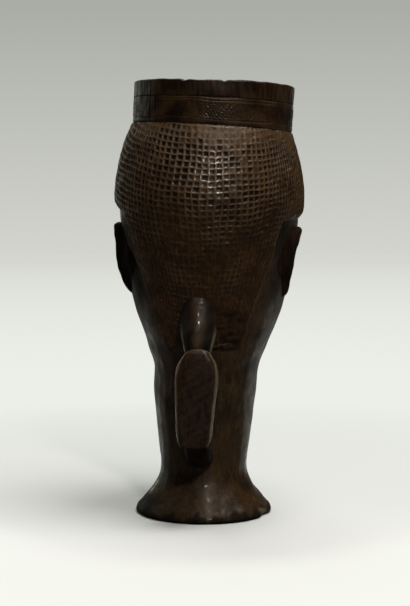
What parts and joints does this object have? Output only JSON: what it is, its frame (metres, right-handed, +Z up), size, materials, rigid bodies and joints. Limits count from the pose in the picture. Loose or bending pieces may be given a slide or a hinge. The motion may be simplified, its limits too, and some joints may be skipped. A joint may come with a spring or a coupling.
{
  "type": "palm wine cup",
  "caption": "Carved wooden drinking cup in the form of a head on a flared foot, with a round collar rim, hatched hair, ears and a loop handle at the nape.",
  "frame": {"origin": "centre of the flat underside of the foot", "axes": "+Z up from the foot to the rim; the carved face looks along -Y and the handle stands out along +Y; +X is the head's own left"},
  "size_m": [0.0887, 0.0983, 0.2012],
  "materials": {
    "skin_wood": "hand-carved dark wood with a satin patina",
    "hair_wood": "cross-hatched dark wood, worn lighter on the ridges",
    "collar_wood": "incised dark wood, worn satin",
    "handle_wood": "dark wood polished by handling",
    "foot_wood": "hand-carved dark wood, chipped and rubbed at the edge"
  },
  "bodies": {
    "root": {"foot": "foot_wood", "neck": "skin_wood", "bowl": "skin_wood", "hair_cap": "hair_wood", "left_ear": "skin_wood", "right_ear": "skin_wood", "left_brow": "skin_wood", "right_brow": "skin_wood", "left_eye": "skin_wood", "right_eye": "skin_wood", "nose": "skin_wood", "upper_lip": "skin_wood", "lower_lip": "skin_wood", "collar_band": "collar_wood", "drinking_lip": "collar_wood", "handle_knuckle": "handle_wood", "handle_grip": "handle_wood"}
  },
  "joints": []
}
